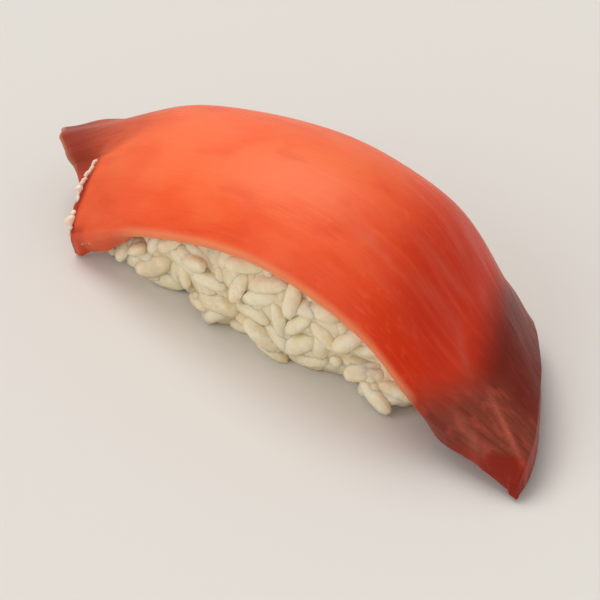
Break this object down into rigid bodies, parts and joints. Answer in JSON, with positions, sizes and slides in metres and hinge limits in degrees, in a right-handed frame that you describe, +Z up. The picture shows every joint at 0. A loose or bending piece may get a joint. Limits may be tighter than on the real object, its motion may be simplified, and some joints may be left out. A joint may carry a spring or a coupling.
{
  "type": "tuna nigiri",
  "caption": "Hand-pressed bed of short-grain rice under a draped, slant-cut slice of raw tuna with a pointed drooping tip.",
  "frame": {"origin": "centre of the overall bounding box at the base, which is the plane the rice stands on", "axes": "+X along the piece to the pointed tip of the slice, -Y to the side where the rice shows, +Z up"},
  "size_m": [0.0784, 0.0262, 0.022],
  "materials": {
    "rice": "moist cooked grains, semi-translucent ivory",
    "tuna": "satin, moist raw flesh, coral red to mauve brown at the tip"
  },
  "bodies": {
    "root": {"rice": "rice", "tuna": "tuna"}
  },
  "joints": []
}
